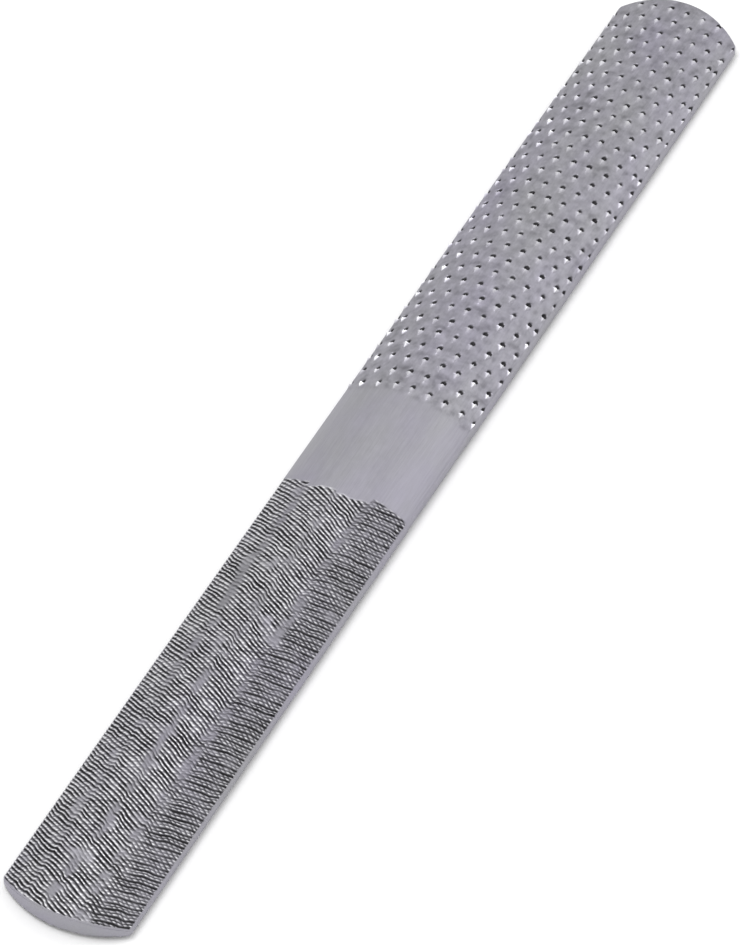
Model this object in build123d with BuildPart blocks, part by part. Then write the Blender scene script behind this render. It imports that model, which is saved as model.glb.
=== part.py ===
"""Four-in-one wood rasp, eight-inch pattern, used without a handle.

The tool is one forged steel bar with a D-shaped section: a flat side that lies on the bench
and a half-round side on top.  Both sides carry rasp teeth on the +Y half and file teeth on
the -Y half, with a plain band between them where the tool is held.

Frame: millimetres, +Z up, X across the width, Y along the length.  The origin is at the
middle of the length and width, on the plane through the tooth tips of the flat side.

Sub-parts: the blank (core, side edges, ends and plain band) and the four toothed faces,
each one a toothed skin that fills its own recess in the blank.
"""
import os
from math import asin, cos, radians, sin, sqrt, tan

from build123d import *

# ---- overall size -------------------------------------------------------------------------
LENGTH = 200.0
WIDTH = 20.0
HALF_LENGTH = LENGTH / 2
HALF_WIDTH = WIDTH / 2

# heights above the tooth tips of the flat side, at mid length and at the ends
FLAT_Z = 0.45
CROWN_MID, CROWN_END = 6.0, 3.8
SHOULDER_MID, SHOULDER_END = 2.5, 1.9

EDGE_ROUND = 0.35
END_BULGE_RASP = 3.6
END_BULGE_FILE = 3.3
CORNER_ROUND = 0.8

# ---- toothed faces ------------------------------------------------------------------------
BAND_RASP_SIDE = 4.0
BAND_FILE_SIDE = -16.0
SKIN_DEPTH = 0.45
BAND_GRIND = 0.05

# punched rasp teeth: slanted rows, each row a third of a pitch on from the last
RASP_PITCH_ACROSS = 2.7
RASP_PITCH_ALONG = 2.95
RASP_ROW_RISE = tan(radians(3.0))
RASP_FIRST_ROW = BAND_RASP_SIDE + 1.95
RASP_MARGIN = 0.8
ROUND_TOOTH_INSET = 0.5
FLAT_TOOTH_INSET = 1.0
EDGE_TOOTH_GAP = 1.25
TOOTH_HEIGHT = 0.45
TOOTH_BACK = 1.0
TOOTH_HALF_WIDTH = 0.62
TOOTH_LEAN = 0.1
PIT_LENGTH = 0.9
PIT_DEPTH = 0.33

# chiselled file teeth: slanted grooves with a steep wall that faces the tool's -Y end
UPCUT_PITCH = 1.09
UPCUT_ANGLE = 18.0
UPCUT_DEPTH = 0.30
UPCUT_CREST = 0.2
STEEP_SHARE = 0.22

# the half-round side is cut in lengthwise courses between these seams
COURSE_SEAMS = (-10.2, -5.2, -0.5, 4.5, 10.0)

OVERRUN = 1.0


def along(mid, end, y):
    """Value at station y of a height that falls off with the belly of the bar."""
    return mid - (mid - end) * (y / HALF_LENGTH) ** 2


def crown(y):
    return along(CROWN_MID, CROWN_END, y)


def shoulder(y):
    return along(SHOULDER_MID, SHOULDER_END, y)


def crown_radius(y):
    rise = crown(y) - shoulder(y)
    return (HALF_WIDTH**2 + rise**2) / (2 * rise)


def surface_z(x, y):
    """Height of the smooth half-round surface."""
    radius = crown_radius(y)
    return crown(y) - radius + sqrt(radius**2 - x**2)


def round_location(x, y, spin=0.0):
    """Seat on the half-round surface: z outward, y along the tool, then turned by spin."""
    step = 0.05
    slope_x = (surface_z(x + step, y) - surface_z(x - step, y)) / (2 * step)
    slope_y = (surface_z(x, y + step) - surface_z(x, y - step)) / (2 * step)
    tangent = Plane(
        origin=(x, y, surface_z(x, y)), x_dir=(1, 0, slope_x), z_dir=(-slope_x, -slope_y, 1)
    )
    return tangent.rotated((0, 0, spin)).location


def flat_location(x, y, spin=0.0):
    """Seat on the flat side: z downward, y along the tool, then turned by spin."""
    seat = Plane(origin=(x, y, FLAT_Z), x_dir=(-1, 0, 0), z_dir=(0, 0, -1))
    return seat.rotated((0, 0, spin)).location


def rasp_end(x):
    """Station of the rounded rasp end at width position x."""
    radius = (HALF_WIDTH**2 + END_BULGE_RASP**2) / (2 * END_BULGE_RASP)
    return HALF_LENGTH - radius + sqrt(radius**2 - x**2)


def rasp_lattice(reach, width_position):
    """Width position and station of every rasp tooth within reach of the centre line.

    Each row is filled out with a tooth at the edge where the pitch leaves room for one.
    """
    spots = []
    rows = int((HALF_LENGTH - RASP_FIRST_ROW) / RASP_PITCH_ALONG) + 1
    columns = int(reach / RASP_PITCH_ACROSS) + 1
    for row in range(rows):
        shift = (row % 3) * RASP_PITCH_ACROSS / 3
        pitched = [column * RASP_PITCH_ACROSS + shift for column in range(-columns, columns + 1)]
        offsets = [offset for offset in pitched if abs(offset) <= reach]
        if offsets[0] + reach > EDGE_TOOTH_GAP:
            offsets.insert(0, -reach)
        if reach - offsets[-1] > EDGE_TOOTH_GAP:
            offsets.append(reach)
        for offset in offsets:
            x = width_position(offset)
            y = RASP_FIRST_ROW + row * RASP_PITCH_ALONG + offset * RASP_ROW_RISE
            if BAND_RASP_SIDE + RASP_MARGIN < y < rasp_end(x) - RASP_MARGIN:
                spots.append((x, y))
    return spots


def around_crown(arc):
    """Width position of a point at a given arc length from the crown line."""
    return crown_radius(0) * sin(arc / crown_radius(0))


# ---- the plain bar, before any teeth are cut ----------------------------------------------
with BuildPart() as bar:
    for y in (-HALF_LENGTH - OVERRUN, -50.0, 0.0, 50.0, HALF_LENGTH + OVERRUN):
        with BuildSketch(Plane.XZ.offset(-y)) as section:
            with BuildLine():
                Polyline(
                    (-HALF_WIDTH, shoulder(y)), (-HALF_WIDTH, FLAT_Z),
                    (HALF_WIDTH, FLAT_Z), (HALF_WIDTH, shoulder(y)),
                )
                ThreePointArc(
                    (HALF_WIDTH, shoulder(y)), (0, crown(y)), (-HALF_WIDTH, shoulder(y))
                )
            make_face()
            fillet(section.vertices(), EDGE_ROUND)
    loft()
    side_rasp = HALF_LENGTH - END_BULGE_RASP
    side_file = HALF_LENGTH - END_BULGE_FILE
    with BuildSketch(Plane.XY) as outline:
        with BuildLine():
            Line((-HALF_WIDTH, -side_file), (-HALF_WIDTH, side_rasp))
            ThreePointArc((-HALF_WIDTH, side_rasp), (0, HALF_LENGTH), (HALF_WIDTH, side_rasp))
            Line((HALF_WIDTH, side_rasp), (HALF_WIDTH, -side_file))
            ThreePointArc((HALF_WIDTH, -side_file), (0, -HALF_LENGTH), (-HALF_WIDTH, -side_file))
        make_face()
        fillet(outline.vertices(), CORNER_ROUND)
    extrude(amount=CROWN_MID + OVERRUN, mode=Mode.INTERSECT)

# ---- the space taken by each toothed skin -------------------------------------------------
TOP_Z = CROWN_MID + OVERRUN


def round_space(stations):
    """Everything above the floor of a half-round skin between the first and last station."""
    reach = HALF_WIDTH + OVERRUN
    with BuildPart() as space:
        for y in stations:
            edge_z = surface_z(reach, y) - SKIN_DEPTH
            floor_z = crown(y) - SKIN_DEPTH
            with BuildSketch(Plane.XZ.offset(-y)):
                with BuildLine():
                    Polyline(
                        (-reach, edge_z), (-reach, TOP_Z), (reach, TOP_Z), (reach, edge_z)
                    )
                    ThreePointArc((reach, edge_z), (0, floor_z), (-reach, edge_z))
                make_face()
        loft()
    return space.part


def flat_space(start, side):
    """Everything below the floor of a flat skin, from the band towards one end."""
    with BuildPart() as space:
        with BuildSketch(Plane.XY):
            with Locations((0, start)):
                Rectangle(WIDTH + 2 * OVERRUN, LENGTH, align=(Align.CENTER, side))
        extrude(amount=FLAT_Z + SKIN_DEPTH)
    return space.part


round_rasp_space = round_space((BAND_RASP_SIDE, 50.0, HALF_LENGTH + OVERRUN))
round_file_space = round_space((-HALF_LENGTH - OVERRUN, -60.0, BAND_FILE_SIDE))
flat_rasp_space = flat_space(BAND_RASP_SIDE, Align.MIN)
flat_file_space = flat_space(BAND_FILE_SIDE, Align.MAX)

# the plain band of the flat side is ground level, a hair below the roots of the teeth
with BuildPart() as flat_grind:
    with BuildSketch(Plane.XY):
        with Locations((0, BAND_RASP_SIDE)):
            Rectangle(
                WIDTH + 2 * OVERRUN, BAND_RASP_SIDE - BAND_FILE_SIDE, align=(Align.CENTER, Align.MAX)
            )
    extrude(amount=FLAT_Z + BAND_GRIND)

# the edge teeth of the half-round side are ground off flush with the side edges
with BuildPart() as rasp_room:
    with BuildSketch(Plane.XY):
        with Locations((0, BAND_RASP_SIDE)):
            Rectangle(WIDTH, LENGTH, align=(Align.CENTER, Align.MIN))
    extrude(amount=TOP_Z)

# ---- one punched tooth and its pit, each drawn through the surface it stands on -----------
ROOT = 0.15

with BuildPart() as rasp_tooth:
    widen = (TOOTH_HEIGHT + ROOT) / TOOTH_HEIGHT
    with BuildSketch(Plane.XY.offset(-ROOT)) as tooth_base:
        Polygon(
            (-TOOTH_HALF_WIDTH * widen, 0), (0, -TOOTH_BACK * widen),
            (TOOTH_HALF_WIDTH * widen, 0), align=None,
        )
    loft([tooth_base.sketch, Vertex(0, TOOTH_LEAN, TOOTH_HEIGHT)])

with BuildPart() as rasp_pit:
    widen = (PIT_DEPTH + ROOT) / PIT_DEPTH
    with BuildSketch(Plane.XY.offset(ROOT)) as pit_mouth:
        Polygon(
            (-TOOTH_HALF_WIDTH * widen, TOOTH_LEAN), (TOOTH_HALF_WIDTH * widen, TOOTH_LEAN),
            (0, PIT_LENGTH * widen), align=None,
        )
    loft([pit_mouth.sketch, Vertex(0, 2 * TOOTH_LEAN, -PIT_DEPTH)])


def upcut_tool(length):
    """Chisel shape for one groove, lying along X with its bottom UPCUT_DEPTH down."""
    clear = 0.06
    width = UPCUT_PITCH * cos(radians(UPCUT_ANGLE)) - UPCUT_CREST
    mouth = width * (UPCUT_DEPTH + clear) / UPCUT_DEPTH
    with BuildPart() as tool:
        with BuildSketch(Plane.YZ.offset(-length / 2)):
            Polygon(
                (STEEP_SHARE * mouth, clear), ((STEEP_SHARE - 1) * mouth, clear),
                (0, -UPCUT_DEPTH), align=None,
            )
        extrude(amount=length)
    return tool.part


def groove_stations(half_width, phase=0.0):
    """Stations of the grooves of one course, from the band to past the rounded end."""
    first = BAND_FILE_SIDE - half_width * tan(radians(UPCUT_ANGLE)) - UPCUT_PITCH
    count = int((HALF_LENGTH + first + OVERRUN / 2) / UPCUT_PITCH)
    return [first - (i + phase) * UPCUT_PITCH for i in range(count)]


# ---- blank: core, side edges, ends and plain band -----------------------------------------
with BuildPart() as blank:
    add(bar.part)
    for space in (round_rasp_space, round_file_space, flat_rasp_space, flat_file_space):
        add(space, mode=Mode.SUBTRACT)
    add(flat_grind.part, mode=Mode.SUBTRACT)

# ---- half-round side, rasp half -----------------------------------------------------------
arc_reach = crown_radius(0) * asin(HALF_WIDTH / crown_radius(0)) - ROUND_TOOTH_INSET
round_spots = [round_location(x, y) for x, y in rasp_lattice(arc_reach, around_crown)]
with BuildPart() as half_round_rasp_teeth:
    add(bar.part)
    add(round_rasp_space, mode=Mode.INTERSECT)
    with Locations(round_spots):
        add(rasp_pit.part, mode=Mode.SUBTRACT)
        add(rasp_tooth.part)
    add(rasp_room.part, mode=Mode.INTERSECT)

# ---- flat side, rasp half -----------------------------------------------------------------
flat_reach = HALF_WIDTH - FLAT_TOOTH_INSET
flat_spots = [flat_location(x, y) for x, y in rasp_lattice(flat_reach, float)]
with BuildPart() as flat_rasp_teeth:
    add(bar.part)
    add(flat_rasp_space, mode=Mode.INTERSECT)
    with Locations(flat_spots):
        add(rasp_pit.part, mode=Mode.SUBTRACT)
        add(rasp_tooth.part)

# ---- half-round side, file half: one set of grooves for each course ------------------------
course_cuts = []
for number, (left, right) in enumerate(zip(COURSE_SEAMS, COURSE_SEAMS[1:])):
    middle = (left + right) / 2
    rise = surface_z(right, 0) - surface_z(left, 0)
    chord = sqrt((right - left) ** 2 + rise**2)
    seats = [
        round_location(middle, y, UPCUT_ANGLE)
        for y in groove_stations((right - left) / 2, phase=number * 0.37 % 1)
    ]
    course_cuts.append((upcut_tool(chord / cos(radians(UPCUT_ANGLE)) + 0.05), seats))

with BuildPart() as half_round_file_teeth:
    add(bar.part)
    add(round_file_space, mode=Mode.INTERSECT)
    for tool, seats in course_cuts:
        with Locations(seats):
            add(tool, mode=Mode.SUBTRACT)

# ---- flat side, file half: grooves right across --------------------------------------------
flat_tool = upcut_tool(2 * HALF_WIDTH / cos(radians(UPCUT_ANGLE)) + OVERRUN)
flat_seats = [
    flat_location(0, y, -UPCUT_ANGLE) for y in groove_stations(HALF_WIDTH) + [-HALF_LENGTH]
]
with BuildPart() as flat_file_teeth:
    add(bar.part)
    add(flat_file_space, mode=Mode.INTERSECT)
    with Locations(flat_seats):
        add(flat_tool, mode=Mode.SUBTRACT)

# ---- export --------------------------------------------------------------------------------
os.makedirs("parts", exist_ok=True)

blank.part.label = "blank"
export_step(blank.part, "parts/blank.step")

half_round_rasp_teeth.part.label = "half_round_rasp_teeth"
export_step(half_round_rasp_teeth.part, "parts/half_round_rasp_teeth.step")

half_round_file_teeth.part.label = "half_round_file_teeth"
export_step(half_round_file_teeth.part, "parts/half_round_file_teeth.step")

flat_rasp_teeth.part.label = "flat_rasp_teeth"
export_step(flat_rasp_teeth.part, "parts/flat_rasp_teeth.step")

flat_file_teeth.part.label = "flat_file_teeth"
export_step(flat_file_teeth.part, "parts/flat_file_teeth.step")

for part in (blank, half_round_rasp_teeth, half_round_file_teeth, flat_rasp_teeth, flat_file_teeth):
    print(part.part.label, len(part.part.solids()), "solid", round(part.part.volume, 1), "mm3")
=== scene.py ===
"""Looks of the four-in-one wood rasp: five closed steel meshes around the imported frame.

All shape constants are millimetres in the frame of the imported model, and finish_mesh turns
them into metres.  +Z is the half-round side, -Z the flat side, +Y the rasp half and -Y the
file half.  "Arc" is the distance round the crown from its top line.
"""
import math

import bmesh
import bpy
import numpy as np
from mathutils import Matrix, Vector


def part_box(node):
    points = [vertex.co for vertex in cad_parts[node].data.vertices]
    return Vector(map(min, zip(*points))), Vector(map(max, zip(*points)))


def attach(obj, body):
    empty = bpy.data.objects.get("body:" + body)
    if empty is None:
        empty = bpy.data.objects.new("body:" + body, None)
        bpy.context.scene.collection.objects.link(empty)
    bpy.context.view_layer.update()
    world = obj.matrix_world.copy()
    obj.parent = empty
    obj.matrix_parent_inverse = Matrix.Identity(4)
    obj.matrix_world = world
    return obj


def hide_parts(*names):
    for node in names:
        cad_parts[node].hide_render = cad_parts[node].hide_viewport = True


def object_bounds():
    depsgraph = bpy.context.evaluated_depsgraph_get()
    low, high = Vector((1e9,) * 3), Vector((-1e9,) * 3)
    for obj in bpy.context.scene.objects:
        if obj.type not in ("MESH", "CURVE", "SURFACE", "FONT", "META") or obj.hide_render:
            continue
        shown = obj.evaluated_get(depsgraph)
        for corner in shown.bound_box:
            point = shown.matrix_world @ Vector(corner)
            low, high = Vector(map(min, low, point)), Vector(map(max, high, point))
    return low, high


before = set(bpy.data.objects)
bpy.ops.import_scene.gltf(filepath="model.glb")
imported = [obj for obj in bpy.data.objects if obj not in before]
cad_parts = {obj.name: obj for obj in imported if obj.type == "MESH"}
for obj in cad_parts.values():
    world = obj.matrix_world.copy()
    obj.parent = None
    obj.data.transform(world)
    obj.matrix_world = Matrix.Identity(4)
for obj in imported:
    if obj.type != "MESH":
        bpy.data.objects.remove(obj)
cad_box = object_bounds()
BOX_LOW, BOX_HIGH = (list(corner) for corner in cad_box)
MM = 0.001

# ---- the bar, as the frame has it ----------------------------------------------------------
HALF_LENGTH = round(cad_box[1][1] / MM, 3)
RASP_START = round(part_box("half_round_rasp_teeth")[0][1] / MM, 3)
FLAT_Z = round(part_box("flat_file_teeth")[0][2] / MM, 3)
# a little narrower than the box, so that the edge teeth can stand out to its sides
HALF_WIDTH = 9.86
CROWN_MID, CROWN_END = 6.0, 3.8
SHOULDER_MID, SHOULDER_END = 2.5, 1.9
END_BULGE = {1: 3.6, -1: 3.3}
CORNER_ROUND = 0.8
SKIN_DEPTH = 0.45
FILE_START = -14.6
# rounding of the long edges of the two sides and of the ends
ROUND_INSET = 0.14
FLAT_INSET = 0.34
END_INSET = 0.12
# how far an edge tooth leans out over the rounding, per millimetre of its height
EDGE_LEAN = 0.6

rng = np.random.default_rng(20)


def crown(y):
    return CROWN_MID - (CROWN_MID - CROWN_END) * (y / HALF_LENGTH) ** 2


def shoulder(y):
    return SHOULDER_MID - (SHOULDER_MID - SHOULDER_END) * (y / HALF_LENGTH) ** 2


def crown_radius(y):
    rise = crown(y) - shoulder(y)
    return (HALF_WIDTH**2 + rise**2) / (2 * rise)


def surface_z(x, y):
    radius = crown_radius(y)
    return crown(y) - radius + np.sqrt(radius**2 - x**2)


ARC_RADIUS = float(crown_radius(0.0))
MOST_TURN = 1.2


def arc_to_x(arc):
    return ARC_RADIUS * np.sin(np.clip(arc / ARC_RADIUS, -MOST_TURN, MOST_TURN))


def x_to_arc(x):
    return ARC_RADIUS * np.arcsin(x / ARC_RADIUS)


def end_outline(side, arc_steps=44, corner_steps=5):
    """Plan points of one rounded end, from -HALF_WIDTH to +HALF_WIDTH, as (x, y)."""
    bulge = END_BULGE[side]
    radius = (HALF_WIDTH**2 + bulge**2) / (2 * bulge)
    centre_y = HALF_LENGTH - radius
    corner_x = HALF_WIDTH - CORNER_ROUND
    corner_y = centre_y + math.sqrt((radius - CORNER_ROUND) ** 2 - corner_x**2)
    touch = math.asin(corner_x / (radius - CORNER_ROUND))
    points = []
    for k in range(corner_steps):
        turn = math.pi / 2 + (touch - math.pi / 2) * k / corner_steps
        x = corner_x + CORNER_ROUND * math.sin(turn)
        points.append((x, corner_y + CORNER_ROUND * math.cos(turn)))
    left = [(-x, y) for x, y in points]
    arc = []
    for k in range(arc_steps + 1):
        turn = -touch + 2 * touch * k / arc_steps
        arc.append((radius * math.sin(turn), centre_y + radius * math.cos(turn)))
    outline = left + arc + points[::-1]
    return np.array([(x, side * y) for x, y in outline])


NOISE_CELLS, NOISE_ORIGIN = 256, 500.0


def lattice_noise(x, y, size_x, size_y, seed):
    """Smooth value noise between -1 and 1 with cells of the given size."""
    table = np.random.default_rng(seed).uniform(-1, 1, (NOISE_CELLS + 1, NOISE_CELLS + 1))
    u, v = np.asarray(x) / size_x + NOISE_ORIGIN, np.asarray(y) / size_y + NOISE_ORIGIN
    i, j = np.floor(u).astype(int), np.floor(v).astype(int)
    fu, fv = u - i, v - j
    fu, fv = fu * fu * (3 - 2 * fu), fv * fv * (3 - 2 * fv)
    i, j = i % NOISE_CELLS, j % NOISE_CELLS
    top = table[i, j] * (1 - fu) + table[i + 1, j] * fu
    bottom = table[i, j + 1] * (1 - fu) + table[i + 1, j + 1] * fu
    return top * (1 - fv) + bottom * fv


def smooth(t):
    """Soft step from 0 at t = 0 to 1 at t = 1."""
    t = np.clip(t, 0, 1)
    return t * t * (3 - 2 * t)


# ---- relief of the punched rasp teeth ------------------------------------------------------
PITCH_ACROSS, PITCH_ALONG = 2.7, 2.95
ROW_RISE = math.tan(math.radians(3.0))
FIRST_ROW = RASP_START + 1.95
ROW_MARGIN = 0.8
# a row gets one more tooth at a side edge if its last one is further away than this
EDGE_GAP = 1.25
# plain line next to the band, and the run over which the relief grows to its full height
RASP_PLAIN, RASP_RUN = 0.1, 1.2
TOOTH_HEIGHT, TOOTH_BACK, TOOTH_HALF_WIDTH, TOOTH_LEAN = 0.45, 1.0, 0.62, 0.1
PIT_CENTRE, PIT_HALF_LENGTH, PIT_HALF_WIDTH, PIT_DEPTH = 0.52, 0.46, 0.44, 0.34
PIT_ROUND, TOOTH_ROUND = 0.8, 0.92
# each tooth differs in height, width and pit depth, and is off its place by the wobble
LEAST_SHAPE, MOST_SHAPE = (0.62, 0.8, 0.4), (1.0, 1.08, 1.12)
PLACE_WOBBLE = 0.15
# a tooth's wobble dies out over one fade, and is gone this many fades away from it
WOBBLE_REACH_X, WOBBLE_FADE_X = 1.9, 0.7
WOBBLE_REACH_Y, WOBBLE_FADE_Y, WOBBLE_MIDDLE = 2.6, 0.55, 0.05
# metal pushed up round each tooth
COLLAR_HEIGHT, COLLAR_HALF_WIDTH, COLLAR_HALF_LENGTH, COLLAR_BACK = 0.06, 0.95, 1.05, 0.1
# heights and cell sizes of the unevenness between the teeth
SWELL_HEIGHT, SWELL_SIZE = 0.035, 1.2
RIPPLE_HEIGHT, RIPPLE_SIZE = 0.012, 0.5
# the grid: columns this far apart, and grid lines at these distances from each row's crests
COLUMN, COLUMNS_EACH_SIDE = 0.15, 75
ROW_STEPS = (
    -1.25, -1.0, -0.8, -0.6, -0.4, -0.2, -0.05, 0.1, 0.13, 0.2, 0.35, 0.5, 0.7, 0.9, 1.17, 1.44,
)
CREST_AT, FOOT_AT = ROW_STEPS[7], ROW_STEPS[8]
ON_LINE = 0.005
# how many grid columns and extra grid lines one tooth may change
TOOTH_COLUMNS, EXTRA_LINES = 9, 3
TEETH_EACH_SIDE = 6


def rasp_sheet(reach, across):
    """Grid of the rasp half as (x, y, height, cut, faces); across turns an offset into x."""
    columns = np.arange(-COLUMNS_EACH_SIDE, COLUMNS_EACH_SIDE + 1) * COLUMN
    row_count = int((HALF_LENGTH - FIRST_ROW) / PITCH_ALONG) + 3
    steps = np.array(ROW_STEPS)
    lines = []
    for row in range(-1, row_count):
        lines.append(FIRST_ROW + row * PITCH_ALONG + steps)
    lines = np.concatenate(lines)
    a, y = np.meshgrid(columns, lines)
    y = y + a * ROW_RISE
    base_a, base_y = a.copy(), y.copy()
    h = np.zeros_like(a)
    end = end_outline(1)
    for row in range(row_count):
        shift = (row % 3) * PITCH_ACROSS / 3
        pitched = [
            k * PITCH_ACROSS + shift for k in range(-TEETH_EACH_SIDE, TEETH_EACH_SIDE + 1)
        ]
        offsets = [o for o in pitched if abs(o) <= reach]
        if offsets[0] + reach > EDGE_GAP:
            offsets.insert(0, -reach)
        if reach - offsets[-1] > EDGE_GAP:
            offsets.append(reach)
        for offset in offsets:
            wobble = rng.uniform(-PLACE_WOBBLE, PLACE_WOBBLE, 2)
            tall, wide, deep = rng.uniform(LEAST_SHAPE, MOST_SHAPE)
            offset = round(offset / COLUMN) * COLUMN
            station = FIRST_ROW + row * PITCH_ALONG + offset * ROW_RISE
            end_y = np.interp(across(offset), end[:, 0], end[:, 1])
            if not RASP_START + ROW_MARGIN < station < end_y - ROW_MARGIN:
                continue
            first = (row + 1) * len(steps) - EXTRA_LINES
            rows = slice(max(first, 0), first + len(steps) + 2 * EXTRA_LINES)
            middle = COLUMNS_EACH_SIDE + round(offset / COLUMN)
            cols = slice(max(middle - TOOTH_COLUMNS, 0), middle + TOOTH_COLUMNS + 1)
            da = base_a[rows, cols] - offset
            db = base_y[rows, cols] - station - da * ROW_RISE
            half = TOOTH_HALF_WIDTH * wide
            side = np.clip(1 - np.abs(da) / half, 0, 1)
            back = np.clip((db + TOOTH_BACK) / (TOOTH_BACK + TOOTH_LEAN), 0, 1)
            tooth = TOOTH_HEIGHT * tall * np.clip(back - (1 - side), 0, 1) ** TOOTH_ROUND
            tooth[db > TOOTH_LEAN + 2 * ON_LINE] = 0
            bowl = 1 - (da / (PIT_HALF_WIDTH * wide)) ** 2
            bowl = bowl - ((db - PIT_CENTRE) / PIT_HALF_LENGTH) ** 2
            pit = -PIT_DEPTH * deep * np.clip(bowl, 0, 1) ** PIT_ROUND
            pit[db <= TOOTH_LEAN] = 0
            away = (da / COLLAR_HALF_WIDTH) ** 2 + ((db + COLLAR_BACK) / COLLAR_HALF_LENGTH) ** 2
            collar = COLLAR_HEIGHT * np.exp(-away)
            shape = np.where(pit < 0, pit, tooth + collar * (1 - tooth / TOOTH_HEIGHT))
            before = h[rows, cols]
            h[rows, cols] = np.where(np.abs(shape) > np.abs(before), shape, before)
            # the cutting face leans over the pit: crest forward, foot back
            crest = np.abs(db - CREST_AT) < ON_LINE
            foot = np.abs(db - FOOT_AT) < ON_LINE
            pull = np.where(crest, -TOOTH_LEAN * (1 - side), 0) - np.where(foot, TOOTH_LEAN, 0)
            pull = pull * (side > 0)
            # the wobble moves the whole tooth and dies out towards its neighbours
            near_x = smooth(WOBBLE_REACH_X - np.abs(da) / WOBBLE_FADE_X)
            near_y = smooth(WOBBLE_REACH_Y - np.abs(db + WOBBLE_MIDDLE) / WOBBLE_FADE_Y)
            near = near_x * near_y
            y[rows, cols] += pull + wobble[1] * near
            a[rows, cols] += wobble[0] * near
    swell = SWELL_HEIGHT * lattice_noise(a, y, SWELL_SIZE, SWELL_SIZE, seed=5)
    ripple = RIPPLE_HEIGHT * lattice_noise(a, y, RIPPLE_SIZE, RIPPLE_SIZE, seed=6)
    h += swell + ripple
    count_y, count_a = a.shape
    index = np.arange(count_y * count_a).reshape(count_y, count_a)
    faces = np.stack([index[:-1, :-1], index[:-1, 1:], index[1:, 1:], index[1:, :-1]], -1)
    # no relief in the first line of the sheet, which has to meet the plain band
    cut = smooth((y - RASP_START - RASP_PLAIN) / RASP_RUN)
    return across(a).ravel(), y.ravel(), (h * cut).ravel(), cut.ravel(), faces.reshape(-1, 4)


# ---- relief of the double-cut file teeth ---------------------------------------------------
UP_PITCH, UP_DEPTH, UP_ANGLE = 1.09, 0.30, 18.0
OVER_PITCH, OVER_DEPTH, OVER_ANGLE = 0.684, 0.17, 27.0
# section of one pitch of each groove family, as (share of the pitch, share of the depth)
UP_LINES = (
    (0.0, 1.0), (0.1, 0.5), (0.2, 0.0), (0.31, 0.05), (0.47, 0.62), (0.60, 0.1), (0.70, 0.12),
    (0.86, 0.62),
)
OVER_LINES = ((0.0, 1.0), (0.22, 0.05), (0.44, 0.0), (0.74, 0.55))
# each seam between two courses as (y, x, how far the cut fades there)
SEAMS = (
    ((-100, -5.4, 0.3), (-62, -5.5, 0.3), (-50, -5.5, 0.75), (-30, -5.6, 0.75), (-20, -5.2, 0.4)),
    ((-100, -2.0, 0.9), (-92, -1.7, 1.0), (-84, -1.2, 0.95), (-75, -0.8, 0.85), (-67, -1.1, 0.8),
     (-60, -1.0, 0.5), (-56, -1.2, 0.85), (-49, -0.7, 0.4), (-41, -0.5, 0.6), (-20, -0.5, 0.3)),
    ((-100, 2.9, 0.6), (-90, 3.3, 0.75), (-78, 3.8, 0.6), (-73, 4.4, 0.4), (-67, 4.3, 1.0),
     (-61, 4.7, 1.0), (-52, 4.4, 0.25), (-43, 4.4, 1.0), (-36, 4.2, 0.5), (-25, 4.4, 0.55),
     (-15, 4.4, 0.3)),
)
SEAM_HALF = 0.72
# how far a seam wanders off its line, as (distance, length of a bend, seed)
SEAM_WANDER = ((0.22, 5.0, 60), (0.12, 1.1, 61))
# how far the grooves jump along the tool at each seam, as a share of the pitch
SEAM_SLIP = (0.37, -0.31, 0.42)
SLIP_SHARE = 0.6
# the y at which the grooves begin: across the half-round side, and all over the flat side
START_X = (-10, -9.2, -5.3, -5.1, -0.6, -0.4, 4.4, 4.6, 10)
START_Y = (-15.0, -15.3, -15.8, -16.9, -16.4, -16.8, -16.2, -15.2, -15.0)
FLAT_START = FILE_START - 1.4
START_RAGGED, START_RUN = 0.22, 0.35
# the grooves are unevenly spaced and unevenly deep
SPACE_JITTER, LEAST_STRENGTH = 0.10, 0.72
# how much of its depth each family gets, and how much that differs from place to place
UP_POWER, UP_UNEVEN = 0.80, 0.28
OVER_POWER, OVER_UNEVEN = 0.78, 0.32
# factors on the flat side, and on the half-round side as (on the left, change to the right)
FLAT_UP = 0.7
COURSE_UP, COURSE_OVER = (0.22, 0.52), (1.40, -0.65)
RIGHT_FROM, RIGHT_RUN = 2.4, 4.0
LEAST_CUT = 0.05
SHEET_MARGIN = 1.4
DEEPEST = 0.38
# share of the shallower groove that is added where two cross
CROSS_SHARE = 0.25
# worn steel at the seams lies lower, and the whole sheet is a little gritty
SEAM_LOW = 0.03
GRIT_HEIGHT, GRIT_SIZE = 0.006, 0.3
WANDER_Y, WANDER_X = 0.15, 0.09
# a cut begins to count as firm at this power, and is wholly firm one run above it
FIRM_FROM, FIRM_RUN, LEAST_FIRM = 0.3, 0.5, 0.15


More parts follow.
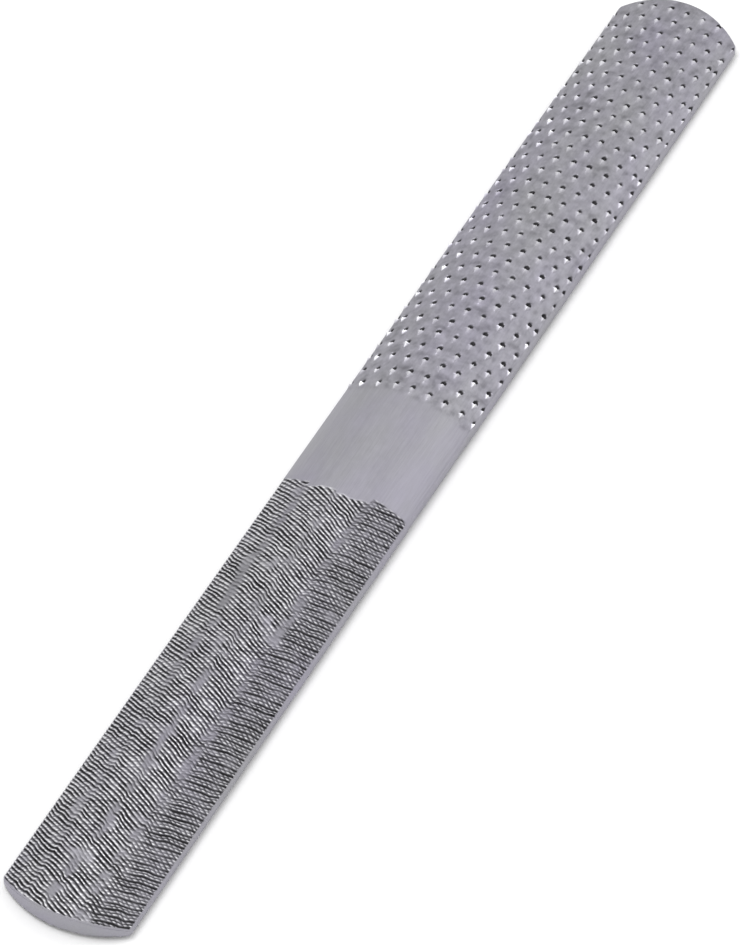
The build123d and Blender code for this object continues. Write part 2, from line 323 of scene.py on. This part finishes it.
def file_sheet(reach, across, courses):
    """Lattice of both groove families as (x, y, height, cut, faces).

    Grid lines follow the grooves of both families, so every crest and every root is an edge.
    With courses, the grooves slip and fade at the seams of the half-round side.
    """
    up, over = math.tan(math.radians(UP_ANGLE)), math.tan(math.radians(OVER_ANGLE))
    y_low, y_high = -HALF_LENGTH - SHEET_MARGIN, FILE_START + SHEET_MARGIN
    wide = reach + SHEET_MARGIN

    def family(pitch, slope, lines, seed):
        spread = abs(slope) * wide
        first = int(math.floor((y_low - spread) / pitch)) - 1
        last = int(math.ceil((y_high + spread) / pitch)) + 1
        count = last - first + 1
        jitter = np.random.default_rng(seed).uniform(-SPACE_JITTER, SPACE_JITTER, count)
        strength = np.random.default_rng(seed + 1).uniform(LEAST_STRENGTH, 1.0, count)
        place, depth = [], []
        for k in range(count - 1):
            here, there = first + k + jitter[k], first + k + 1 + jitter[k + 1]
            for share, cut in lines:
                place.append((here + (there - here) * share) * pitch)
                depth.append(cut * (strength[k] if share < 0.5 else strength[k + 1]))
        return np.array(place), np.array(depth)

    up_place, up_cut = family(UP_PITCH, up, UP_LINES, 31)
    over_place, over_cut = family(OVER_PITCH, over, OVER_LINES, 41)
    p, q = np.meshgrid(up_place, over_place, indexing="ij")
    # up family: y - arc * up = p; over family: y + arc * over = q
    a = (q - p) / (up + over)
    y = p + a * up
    inside = (np.abs(a) < wide) & (y > y_low) & (y < y_high)
    cell = inside[:-1, :-1] & inside[:-1, 1:] & inside[1:, 1:] & inside[1:, :-1]
    used = np.zeros_like(inside)
    used[:-1, :-1] |= cell
    used[:-1, 1:] |= cell
    used[1:, 1:] |= cell
    used[1:, :-1] |= cell
    index = np.full(inside.shape, -1)
    index[used] = np.arange(used.sum())
    quads = np.stack([index[:-1, :-1], index[1:, :-1], index[1:, 1:], index[:-1, 1:]], -1)[cell]
    up_depth = np.broadcast_to(up_cut[:, None], inside.shape)[used]
    over_depth = np.broadcast_to(over_cut[None, :], inside.shape)[used]
    a, y = a[used], y[used]

    x = across(a)
    blot = lattice_noise(a, y, 2.2, 3.0, seed=51)
    up_power = UP_POWER + UP_UNEVEN * lattice_noise(a, y, 1.3, 1.1, seed=52)
    over_power = OVER_POWER + OVER_UNEVEN * lattice_noise(a, y, 1.0, 0.9, seed=53)
    slip = np.zeros_like(x)
    uncut = np.ones_like(x)
    if courses:
        # the right-hand course is mostly up-cut, the others are mostly over-cut
        right = smooth((x - RIGHT_FROM) / RIGHT_RUN)
        up_power = up_power * (COURSE_UP[0] + COURSE_UP[1] * right)
        over_power = over_power * (COURSE_OVER[0] + COURSE_OVER[1] * right)
        for number, seam in enumerate(SEAMS):
            seam_y, seam_x, seam_fade = zip(*seam)
            own_line = y * 0 + number * 7.0
            drift = np.interp(y, seam_y, seam_x)
            for distance, bend, seed in SEAM_WANDER:
                drift += distance * lattice_noise(own_line, y, 1.0, bend, seed)
            band = np.exp(-(np.abs(x - drift) / SEAM_HALF) ** 3)
            patch = np.interp(y, seam_y, seam_fade)
            uneven = 0.9 + 1.2 * lattice_noise(y * 0 + number * 5.0, y, 1.0, 2.2, seed=62)
            patch *= np.clip(uneven, LEAST_CUT, 1.15)
            fade = 1 - 0.9 * band * patch * (0.8 + 0.5 * lattice_noise(a, y, 0.7, 0.9, seed=67))
            fade = np.clip(fade, LEAST_CUT, 1)
            uncut *= fade
            up_power = up_power * fade
            over_power = over_power * fade
            slip += SEAM_SLIP[number] * smooth((x - drift) / 0.5 + 0.5)
        start = np.interp(x, START_X, START_Y)
    else:
        up_power = up_power * FLAT_UP
        start = np.full_like(x, FLAT_START)
    start = start + START_RAGGED * lattice_noise(a, y * 0, 0.8, 1.0, seed=63)
    cut_in = smooth((start - y) / START_RUN)
    # blots where the grooves are worn shallow
    patchy = np.clip(1.1 - 1.6 * np.clip(blot - 0.5, 0, 1), 0.4, 1)
    up_h = -UP_DEPTH * up_depth * up_power * cut_in * patchy
    over_h = -OVER_DEPTH * over_depth * over_power * cut_in * patchy
    h = np.minimum(up_h, over_h) + CROSS_SHARE * np.maximum(up_h, over_h)
    h = np.maximum(h, -DEEPEST)
    grit = GRIT_HEIGHT * lattice_noise(a, y, GRIT_SIZE, GRIT_SIZE, seed=64)
    h += grit * cut_in - SEAM_LOW * (1 - uncut) * cut_in
    y = y + slip * UP_PITCH * SLIP_SHARE + WANDER_Y * lattice_noise(a, y, 1.3, 2.0, seed=65)
    a = a + WANDER_X * lattice_noise(a, y, 0.9, 1.3, seed=66)
    # only firmly cut places get the painted crest highlight; the rest stays the colour of the
    # plain steel
    firm = (np.maximum(up_power, over_power) - FIRM_FROM) / FIRM_RUN
    strength = np.clip(firm, LEAST_FIRM, 1)
    return across(a), y, h, cut_in * uncut * strength * np.clip(patchy, 0, 1) ** 2, quads


# ---- from a relief sheet to a closed toothed skin ------------------------------------------
STRAIGHT_CUTS = 3
# the rounded ends and the corners lie within this distance of the tips
TIP_LENGTH = 6.5
CUT_SNAP, WELD = 1e-5, 3e-4
# border points this near to the band, the rounded end or a side edge count as being on it
ON_BAND, ON_END, ON_SIDE = 2e-3, 0.02, 0.01
# least thickness of the steel under a pit at the edge
LEAST_WALL = 0.02
EDGE_TURNS = (30, 60, 90)
# the floor of a skin is a grid of this many columns and rows, drawn in from the walls
FLOOR_COLUMNS, FLOOR_ROWS = 15, 22
FLOOR_REACH, FLOOR_FIRST, FLOOR_LAST = 0.96, 0.01, 0.985
SIDES = 4
SHARP_ANGLE = 28


def half_space_cuts(outline, side, start):
    """Lines that cut a sheet down to one half of the plan outline, as (point, outward).

    The first STRAIGHT_CUTS are the band and the two sides, the others follow the tip.
    """
    centre = np.array([0.0, side * 60.0])
    cuts = [
        ((0.0, start), (0.0, -side)),
        ((outline[0, 0], 0.0), (-1.0, 0.0)),
        ((outline[-1, 0], 0.0), (1.0, 0.0)),
    ]
    for here, there in zip(outline, outline[1:]):
        normal = np.array([here[1] - there[1], there[0] - here[0]])
        normal /= np.linalg.norm(normal)
        if np.dot(normal, here - centre) < 0:
            normal = -normal
        cuts.append((tuple(here), tuple(normal)))
    return cuts


def trim(sheet, side, start, scale_x, scale_y):
    """Cut the sheet to the plan outline of its half, drawn in by the edge rounding."""
    x, y, h, cut, faces = sheet
    bm = bmesh.new()
    cut_layer = bm.verts.layers.float.new("cut")
    verts = [bm.verts.new(co) for co in np.stack([x, y, h], 1).tolist()]
    for vert, share in zip(verts, cut.tolist()):
        vert[cut_layer] = share
    for quad in faces.tolist():
        bm.faces.new([verts[i] for i in quad])
    outline = end_outline(side) * (scale_x, scale_y)
    for number, (point, normal) in enumerate(half_space_cuts(outline, side, start)):
        if number < STRAIGHT_CUTS:
            geometry = bm.verts[:] + bm.edges[:] + bm.faces[:]
        else:
            # dicts keep their order, which sets don't, so the mesh is the same each run
            tip = [f for f in bm.faces if f.verts[0].co.y * side > HALF_LENGTH - TIP_LENGTH]
            edges = dict.fromkeys(e for f in tip for e in f.edges)
            corners = dict.fromkeys(v for e in edges for v in e.verts)
            geometry = [*corners, *edges, *tip]
        bmesh.ops.bisect_plane(
            bm,
            geom=geometry,
            dist=CUT_SNAP,
            plane_co=(*point, 0),
            plane_no=(*normal, 0),
            clear_outer=True,
        )
    bmesh.ops.remove_doubles(bm, verts=bm.verts[:], dist=WELD)
    return bm


def border_loop(bm):
    """Vertices of the sheet's border, in order."""
    step = {}
    for e in bm.edges:
        if len(e.link_loops) == 1:
            loop = e.link_loops[0]
            step[loop.vert] = loop.link_loop_next.vert
    start = min(step, key=lambda v: (round(v.co.x, 3), abs(v.co.y)))
    loop, at = [start], step[start]
    while at is not start:
        loop.append(at)
        at = step[at]
    if len(loop) != len(step):
        raise RuntimeError(f"the border has stray edges: {len(loop)} of {len(step)}")
    return loop


def zipper(bm, outer, inner):
    """Triangles between two closed loops of (place, vertex), both sorted by place.

    A place runs from 0 to SIDES, once round the skin: band, right side, end, left side.
    """
    i = j = 0
    n, m = len(outer), len(inner)
    while i < n or j < m:
        next_outer = outer[(i + 1) % n][0] + (SIDES if i + 1 >= n else 0)
        next_inner = inner[(j + 1) % m][0] + (SIDES if j + 1 >= m else 0)
        a, b = outer[i % n][1], inner[j % m][1]
        if j >= m or (i < n and next_outer <= next_inner):
            bm.faces.new((a, outer[(i + 1) % n][1], b))
            i += 1
        else:
            bm.faces.new((a, inner[(j + 1) % m][1], b))
            j += 1


def skin_floor(bm, outline, start, surface):
    """Coarse curved grid under the skin, and its border as a list of (place, vertex)."""
    steps_x = np.linspace(-FLOOR_REACH, FLOOR_REACH, FLOOR_COLUMNS)
    steps_v = np.linspace(FLOOR_FIRST, FLOOR_LAST, FLOOR_ROWS)
    grid = []
    for v in steps_v:
        gx = steps_x * HALF_WIDTH
        gy = start + (np.interp(gx, outline[:, 0], outline[:, 1]) - start) * v
        places = surface(gx, gy, np.full_like(gx, SKIN_DEPTH))
        grid.append([bm.verts.new(place) for place in places.tolist()])
    for row, after in zip(grid, grid[1:]):
        for k in range(len(row) - 1):
            bm.faces.new((row[k], row[k + 1], after[k + 1], after[k]))
    last_row, last_k = len(grid) - 1, len(steps_x) - 1
    border = [(0, k) for k in range(last_k)] + [(r, last_k) for r in range(last_row)]
    border += [(last_row, k) for k in range(last_k, 0, -1)]
    border += [(r, 0) for r in range(last_row, 0, -1)]
    inner = []
    for r, k in border:
        u = steps_x[k] / FLOOR_REACH
        v = 2 * (steps_v[r] - FLOOR_FIRST) / (FLOOR_LAST - FLOOR_FIRST) - 1
        if r == 0:
            place = (u + 1) / 2
        elif k == last_k and r < last_row:
            place = 1 + (v + 1) / 2
        elif r == last_row and k > 0:
            place = 2 + (1 - u) / 2
        else:
            place = 3 + (1 - v) / 2
        inner.append((place, grid[r][k]))
    inner.sort(key=lambda item: item[0])
    return inner


def wall_places(ring, out_x, out_y, outline, start):
    """The lowest ring of the walls as a list of (place, vertex), in the order of zipper."""
    outer = []
    for x, y, vert in zip(out_x, out_y, ring):
        u = x / HALF_WIDTH
        end = np.interp(x, outline[:, 0], outline[:, 1])
        v = 2 * (y - start) / (end - start) - 1
        if abs(x) > HALF_WIDTH - ON_SIDE and abs(v) < 0.999:
            place = 1 + (v + 1) / 2 if u > 0 else 3 + (1 - v) / 2
        else:
            place = (u + 1) / 2 if v < 0 else 2 + (1 - u) / 2
        outer.append((place, vert))
    half = SIDES / 2
    turns = sum((b[0] - a[0] + half) % SIDES - half for a, b in zip(outer, outer[1:]))
    if turns < 0:
        outer.reverse()
    first = min(range(len(outer)), key=lambda k: outer[k][0])
    outer = outer[first:] + outer[:first]
    # a border that folds back a little must not upset the order
    places = np.maximum.accumulate([place for place, _ in outer])
    return [(place, vert) for place, (_, vert) in zip(places, outer)]


def skin(name, sheet, side, start, inset, surface, seat):
    """Closed toothed skin.  seat(x, y, h) places relief, surface(x, y, drop) places walls."""
    scale_x, scale_y = 1 - inset / HALF_WIDTH, 1 - END_INSET / HALF_LENGTH
    bm = trim(sheet, side, start, scale_x, scale_y)
    relief = bm.verts.layers.float.new("relief")
    border = border_loop(bm)
    plan = np.array([v.co for v in border])
    everything = list(bm.verts)
    flat = np.array([v.co for v in everything])
    for v, place, h in zip(everything, seat(*flat.T).tolist(), flat[:, 2].tolist()):
        v.co = place
        v[relief] = h
    x, y, h = plan.T
    out_x = np.clip(x / scale_x, -HALF_WIDTH, HALF_WIDTH)
    on_band = np.abs(y - start) < ON_BAND
    outline = end_outline(side)
    end_y = np.interp(x / scale_x, outline[:, 0], outline[:, 1]) * scale_y
    out_y = np.where(np.abs(end_y - y) < ON_END, y / scale_y, y)
    out_y = np.where(on_band, start, out_y)
    walls = []
    for turn in EDGE_TURNS:
        share = math.sin(math.radians(turn))
        fall = END_INSET * (1 - math.cos(math.radians(turn))) - np.minimum(h, 0)
        fall = np.minimum(fall, SKIN_DEPTH - LEAST_WALL)
        lift = np.maximum(h, 0) * (1 - share)
        lean = np.where(on_band, 0, np.sign(x) * EDGE_LEAN * lift)
        ring_x = x + (out_x - x) * share + lean
        walls.append(surface(ring_x, y + (out_y - y) * share, fall - lift))
    walls.append(surface(out_x, out_y, np.full_like(x, SKIN_DEPTH)))
    rings = [border]
    for places in walls:
        rings.append([bm.verts.new(place) for place in places.tolist()])
    count = len(border)
    for upper, lower in zip(rings, rings[1:]):
        for k in range(count):
            n = (k + 1) % count
            bm.faces.new((upper[n], upper[k], lower[k], lower[n]))
    inner = skin_floor(bm, outline, start, surface)
    outer = wall_places(rings[-1], out_x, out_y, outline, start)
    zipper(bm, outer, inner)
    return finish_mesh(name, bm)


def finish_mesh(name, bm):
    """The piece as a Blender object, inside the frame's box, with crisp edges kept crisp."""
    bmesh.ops.recalc_face_normals(bm, faces=bm.faces[:])
    volume = bm.calc_volume(signed=True)
    open_edges = sum(1 for e in bm.edges if len(e.link_loops) != 2)
    print("piece", name, "faces", len(bm.faces), "open edges", open_edges, "mm3", round(volume, 1))
    if volume < 0:
        bmesh.ops.reverse_faces(bm, faces=bm.faces[:])
    for v in bm.verts:
        v.co *= MM
        v.co = [min(max(c, low), high) for c, low, high in zip(v.co, BOX_LOW, BOX_HIGH)]
    mesh = bpy.data.meshes.new(name)
    bm.to_mesh(mesh)
    bm.free()
    mesh.shade_smooth()
    mesh.set_sharp_from_angle(angle=math.radians(SHARP_ANGLE))
    piece = bpy.data.objects.new(name, mesh)
    bpy.context.scene.collection.objects.link(piece)
    return piece


# ---- seats on the two sides ----------------------------------------------------------------
SLOPE_STEP = 0.02


def round_seat(x, y, h):
    """Points h above the crown, along its normal."""
    z = surface_z(x, y)
    reach = 2 * SLOPE_STEP
    slope_x = (surface_z(x + SLOPE_STEP, y) - surface_z(x - SLOPE_STEP, y)) / reach
    slope_y = (surface_z(x, y + SLOPE_STEP) - surface_z(x, y - SLOPE_STEP)) / reach
    length = np.sqrt(slope_x**2 + slope_y**2 + 1)
    return np.stack([
        x - h * slope_x / length,
        y - h * slope_y / length,
        z + h / length,
    ], 1)


def round_wall(x, y, drop):
    return np.stack([x, y, surface_z(x, y) - drop], 1)


def flat_seat(x, y, h):
    return np.stack([x, y, FLAT_Z - h], 1)


def flat_wall(x, y, drop):
    return np.stack([x, y, np.full_like(x, FLAT_Z) + drop], 1)


# ---- the forged blank ----------------------------------------------------------------------
END_RINGS, BAND_RINGS = 36, 40
# heights of the side points under the skins, as shares from the top edge to the low edge
SIDE_SHARES = (0.12, 0.24, 0.4, 0.6, 0.76, 0.88)


def blank_mesh():
    """The bar: hidden under the skins at both halves, with its own rounding at the band."""
    bm = bmesh.new()
    relief = bm.verts.layers.float.new("relief")
    plan = end_outline(1)
    xs = plan[:, 0]
    ends = {1: plan[:, 1], -1: end_outline(-1)[:, 1]}
    narrow_top, narrow_low = 1 - ROUND_INSET / HALF_WIDTH, 1 - FLAT_INSET / HALF_WIDTH
    turns = np.radians(EDGE_TURNS)

    def ring(y, banded):
        """One section: top from -x to +x, down the right side, bottom back, up the left side."""
        side_y = y[-1]
        if banded:
            top = round_wall(xs * narrow_top, y, np.zeros_like(xs))
            low = flat_wall(xs * narrow_low, y, np.zeros_like(xs))
            right = []
            for t in turns:
                px = HALF_WIDTH * (narrow_top + (1 - narrow_top) * math.sin(t))
                pz = surface_z(px, side_y) - END_INSET * (1 - math.cos(t))
                right.append((px, side_y, pz))
            for t in turns[::-1]:
                px = HALF_WIDTH * (narrow_low + (1 - narrow_low) * math.sin(t))
                right.append((px, side_y, FLAT_Z + FLAT_INSET * (1 - math.cos(t))))
        else:
            top = round_wall(xs, y, np.full_like(xs, SKIN_DEPTH))
            low = flat_wall(xs, y, np.full_like(xs, SKIN_DEPTH))
            z_top, z_low = top[-1][2], low[-1][2]
            right = [(HALF_WIDTH, side_y, z_top + (z_low - z_top) * s) for s in SIDE_SHARES]
        left = [(-px, py, pz) for px, py, pz in reversed(right)]
        points = top.tolist() + right + low[::-1].tolist() + left
        return [bm.verts.new(p) for p in points]

    rings = []
    for v in np.linspace(1, 0, END_RINGS):
        rings.append(ring(FILE_START + (ends[-1] - FILE_START) * v, False))
    for y in np.linspace(FILE_START, RASP_START, BAND_RINGS):
        rings.append(ring(np.full_like(xs, y), True))
    for v in np.linspace(0, 1, END_RINGS):
        rings.append(ring(RASP_START + (ends[1] - RASP_START) * v, False))
    count = len(rings[0])
    for here, there in zip(rings, rings[1:]):
        for k in range(count):
            n = (k + 1) % count
            bm.faces.new((here[k], here[n], there[n], there[k]))
    # each end is closed by strips from the top edge to the low edge
    top_count, side_count = len(xs), len(SIDE_SHARES)
    for loop in (rings[0], rings[-1]):
        top = loop[:top_count]
        right = loop[top_count:top_count + side_count]
        low = loop[top_count + side_count:2 * top_count + side_count][::-1]
        left = loop[2 * top_count + side_count:]
        for k in range(top_count - 1):
            extra_right = right if k == top_count - 2 else []
            extra_left = left if k == 0 else []
            bm.faces.new([top[k], top[k + 1]] + extra_right + [low[k + 1], low[k]] + extra_left)
    for v in bm.verts:
        v[relief] = 0.0
    return bm


# ---- steel ---------------------------------------------------------------------------------
STEEL = 0.37
LILAC = (0.985, 0.945, 1.12)
PLAIN = (0.99, 0.98, 1.05)
# colours of the painted highlight on crests, the painted shade in the hollows and the painted
# highlight on tooth tips, and how much of that tip highlight is mixed in
CREST_HIGHLIGHT, HOLLOW_SHADE, TIP_HIGHLIGHT = (0.97, 0.97, 0.98), (0.035, 0.034, 0.036), (0.84, 0.84, 0.86)
TIP_HIGHLIGHT_SHARE = 0.65
ROUGH = 0.46


def steel(name, hollow_at, hollow_shade_share, crest, mottle, height_shading, rough_at):
    """Hardened steel: grinding lines, lilac drift, painted shade in hollows, painted highlights on
    crests and tips.

    The relief attribute is the height of a point above the plain surface in millimetres, and
    the cut attribute says how far the surface there has been worked.  hollow_at is the depth
    that counts as a full hollow, soot how dark the painted shade in the hollows gets, crest how
    bright the painted highlight on worked crests gets, mottle how patchy the steel is, mound how
    much the teeth are painted lighter than the steel at their foot (painted shade by height), and
    rough_at the roughness.
    """
    material = bpy.data.materials.new(name)
    material.use_nodes = True
    tree = material.node_tree
    tree.nodes.clear()
    add, link = tree.nodes.new, tree.links.new

    def maths(kind, a, b=None, clamp=False):
        node = add("ShaderNodeMath")
        node.operation = kind
        node.use_clamp = clamp
        for socket, value in zip(node.inputs, (a, b)):
            if isinstance(value, (int, float)):
                socket.default_value = value
            elif value is not None:
                link(value, socket)
        return node.outputs[0]

    def noise(scale, stretch, detail, roughness=0.6):
        mapping = add("ShaderNodeMapping")
        mapping.inputs["Scale"].default_value = stretch
        link(coords.outputs["Object"], mapping.inputs["Vector"])
        node = add("ShaderNodeTexNoise")
        node.inputs["Scale"].default_value = scale
        node.inputs["Detail"].default_value = detail
        node.inputs["Roughness"].default_value = roughness
        link(mapping.outputs[0], node.inputs["Vector"])
        return node.outputs["Fac"]

    def mix(fac, a, b, blend="MIX"):
        node = add("ShaderNodeMix")
        node.data_type = "RGBA"
        node.blend_type = blend
        sockets = [s for s in node.inputs if s.type == "RGBA"]
        if isinstance(fac, float):
            node.inputs["Factor"].default_value = fac
        else:
            link(fac, node.inputs["Factor"])
        for socket, value in zip(sockets, (a, b)):
            if isinstance(value, tuple):
                socket.default_value = (*value, 1)
            else:
                link(value, socket)
        return [s for s in node.outputs if s.type == "RGBA"][0]

    def attribute(label):
        node = add("ShaderNodeAttribute")
        node.attribute_name = label
        return node.outputs["Fac"]

    coords = add("ShaderNodeTexCoord")
    shader = add("ShaderNodeBsdfPrincipled")
    output = add("ShaderNodeOutputMaterial")
    link(shader.outputs[0], output.inputs[0])
    height, cut = attribute("relief"), attribute("cut")

    # scales are per metre, and the grinding lines are long along the tool
    drift = noise(110, (1, 0.5, 1), 3)
    blot = noise(950, (1, 0.8, 1), 3, 0.6)
    lines = noise(5200, (1, 0.035, 1), 3, 0.7)
    scratches = noise(1500, (1, 0.02, 1), 2, 0.5)
    grain = noise(9000, (1, 1, 1), 2)

    hollow = maths("MULTIPLY", height, -1 / hollow_at, True)
    raised = maths("MULTIPLY", maths("ADD", height, -0.12), 1 / 0.25, True)
    # plain and lilac steel drift into each other, then come blots, grinding lines, and the painted
    # shade by height that shows the teeth as pale mounds
    cool = tuple(STEEL * c for c in LILAC)
    warm = tuple(STEEL * c for c in PLAIN)
    base = mix(maths("MULTIPLY", maths("SUBTRACT", drift, 0.35), 2.6, True), warm, cool)
    spread = maths("ADD", 0.06, maths("MULTIPLY", cut, mottle))
    shade = maths("MULTIPLY", maths("SUBTRACT", blot, 0.5), spread)
    shade = maths("ADD", 1.0, maths("MULTIPLY", shade, 2.2))
    line_shade = maths("ADD", 0.82, maths("MULTIPLY", lines, 0.36))
    shade = maths("MULTIPLY", shade, line_shade)
    # painted shade by height: the teeth are painted lighter and the steel round their foot darker,
    # so they stand out as mounds
    lift = maths("MULTIPLY", maths("ADD", height, 0.02), 1 / 0.22, True)
    height_shade = maths("MULTIPLY", maths("MULTIPLY", cut, height_shading), maths("SUBTRACT", lift, 0.35))
    shade = maths("MULTIPLY", shade, maths("ADD", 1.0, height_shade))
    grey = add("ShaderNodeCombineColor")
    for socket in grey.inputs:
        link(shade, socket)
    base = mix(1.0, base, grey.outputs[0], "MULTIPLY")
    # painted highlights on the crests between the grooves, painted shade in the hollows, and
    # painted highlights on the raised tooth tips
    edge = maths("MULTIPLY", maths("SUBTRACT", 1.0, maths("MULTIPLY", hollow, 2.2), True), cut)
    base = mix(maths("MULTIPLY", edge, crest), base, CREST_HIGHLIGHT)
    base = mix(maths("MULTIPLY", hollow, hollow_shade_share), base, HOLLOW_SHADE)
    base = mix(maths("MULTIPLY", raised, TIP_HIGHLIGHT_SHARE), base, TIP_HIGHLIGHT)
    link(base, shader.inputs["Base Color"])
    shader.inputs["Metallic"].default_value = 1.0

    rough = maths("ADD", rough_at - 0.06, maths("MULTIPLY", blot, 0.12))
    rough = maths("ADD", rough, maths("MULTIPLY", hollow, 0.16))
    rough = maths("SUBTRACT", rough, maths("MULTIPLY", raised, 0.12), True)
    link(rough, shader.inputs["Roughness"])

    bumps = maths("ADD", maths("MULTIPLY", lines, 0.6), maths("MULTIPLY", scratches, 0.5))
    bumps = maths("ADD", bumps, maths("MULTIPLY", grain, 0.25))
    bump = add("ShaderNodeBump")
    bump.inputs["Strength"].default_value = 0.8
    bump.inputs["Distance"].default_value = 0.00003
    link(bumps, bump.inputs["Height"])
    link(bump.outputs[0], shader.inputs["Normal"])
    return material


blank_steel = steel(
    "blank_steel", hollow_at=0.3, hollow_shade_share=0.5, crest=0.0, mottle=0.0, height_shading=0.0, rough_at=ROUGH
)
rasp_steel = steel(
    "rasp_steel", hollow_at=0.12, hollow_shade_share=0.97, crest=0.0, mottle=0.30, height_shading=0.45, rough_at=ROUGH
)
file_steel = steel(
    "file_steel", hollow_at=0.13, hollow_shade_share=0.97, crest=0.90, mottle=0.12, height_shading=0.0,
    rough_at=ROUGH + 0.06,
)

# ---- the five pieces -----------------------------------------------------------------------
# how far from the middle the last tooth of a rasp row may stand
ROUND_REACH = float(x_to_arc(HALF_WIDTH)) - 0.10
FLAT_REACH = HALF_WIDTH - 0.9


def same(offset):
    return offset


def round_side(name, sheet, side, start):
    return skin(name, sheet, side, start, ROUND_INSET, round_wall, round_seat)


def flat_side(name, sheet, side, start):
    return skin(name, sheet, side, start, FLAT_INSET, flat_wall, flat_seat)


blank = finish_mesh("visual_blank", blank_mesh())
round_rasp = round_side("visual_round_rasp", rasp_sheet(ROUND_REACH, arc_to_x), 1, RASP_START)
round_file = round_side(
    "visual_round_file", file_sheet(x_to_arc(HALF_WIDTH), arc_to_x, True), -1, FILE_START
)
flat_rasp = flat_side("visual_flat_rasp", rasp_sheet(FLAT_REACH, same), 1, RASP_START)
flat_file = flat_side("visual_flat_file", file_sheet(HALF_WIDTH, same, False), -1, FILE_START)
pieces = {
    "blank": (blank, blank_steel),
    "half_round_rasp_teeth": (round_rasp, rasp_steel),
    "half_round_file_teeth": (round_file, file_steel),
    "flat_rasp_teeth": (flat_rasp, rasp_steel),
    "flat_file_teeth": (flat_file, file_steel),
}
for node, (piece, material) in pieces.items():
    piece.data.materials.append(material)
    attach(piece, "root")
    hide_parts(node)

# ---- floor, light and camera ---------------------------------------------------------------
FLOOR = 6.0
FLOOR_PAINT = 0.93
WORLD_STRENGTH = 0.9
SENSOR = 36.0
# focal length in pixels of an image this high; the sensor lies along the image's height
FOCAL_PIXELS, IMAGE_HEIGHT = 6110, 945
CAMERA_TURN, CAMERA_RISE = -27.2, 47.5
CAMERA_AWAY, CAMERA_LEFT, CAMERA_DOWN = 883.32, 3.28, 4.03

scene = bpy.context.scene
scene.view_settings.view_transform = "Standard"

floor_mesh = bpy.data.meshes.new("floor")
floor_mesh.from_pydata(
    [(-FLOOR, -FLOOR, 0), (FLOOR, -FLOOR, 0), (FLOOR, FLOOR, 0), (-FLOOR, FLOOR, 0)],
    [],
    [(0, 1, 2, 3)],
)
floor = bpy.data.objects.new("floor", floor_mesh)
scene.collection.objects.link(floor)
floor_material = bpy.data.materials.new("floor_paint")
floor_material.use_nodes = True
floor_shader = floor_material.node_tree.nodes["Principled BSDF"]
floor_shader.inputs["Base Color"].default_value = (FLOOR_PAINT, FLOOR_PAINT, FLOOR_PAINT, 1)
floor_shader.inputs["Roughness"].default_value = 0.9
floor_mesh.materials.append(floor_material)

world = bpy.data.worlds.new("studio")
scene.world = world
world.use_nodes = True
background = world.node_tree.nodes["Background"]
background.inputs["Color"].default_value = (1, 1, 1, 1)
background.inputs["Strength"].default_value = WORLD_STRENGTH


def area_light(name, place, power, size):
    """A square lamp that points at the origin."""
    light = bpy.data.lights.new(name, "AREA")
    light.energy = power
    light.shape = "SQUARE"
    light.size = size
    lamp = bpy.data.objects.new(name, light)
    lamp.location = place
    lamp.rotation_euler = (-Vector(place)).to_track_quat("-Z", "Y").to_euler()
    scene.collection.objects.link(lamp)


area_light("key", place=(-0.25, -0.1, 1.2), power=5.0, size=0.5)
area_light("back", place=(0.55, 0.65, 0.75), power=0.7, size=0.5)

camera_data = bpy.data.cameras.new("camera")
camera_data.sensor_width = SENSOR
camera_data.lens = FOCAL_PIXELS / IMAGE_HEIGHT * SENSOR
camera_data.clip_start, camera_data.clip_end = 0.05, 20
camera = bpy.data.objects.new("camera", camera_data)
scene.collection.objects.link(camera)
turn, rise = math.radians(CAMERA_TURN), math.radians(CAMERA_RISE)
right = Vector((math.cos(turn), -math.sin(turn), 0))
ahead = Vector((math.sin(turn), math.cos(turn), 0))
forward = ahead * math.cos(rise) - Vector((0, 0, math.sin(rise)))
up = ahead * math.sin(rise) + Vector((0, 0, math.cos(rise)))
camera_place = (-forward * CAMERA_AWAY - right * CAMERA_LEFT - up * CAMERA_DOWN) * MM
camera.matrix_world = Matrix((
    (right.x, up.x, -forward.x, camera_place.x),
    (right.y, up.y, -forward.y, camera_place.y),
    (right.z, up.z, -forward.z, camera_place.z),
    (0, 0, 0, 1),
))
scene.camera = camera
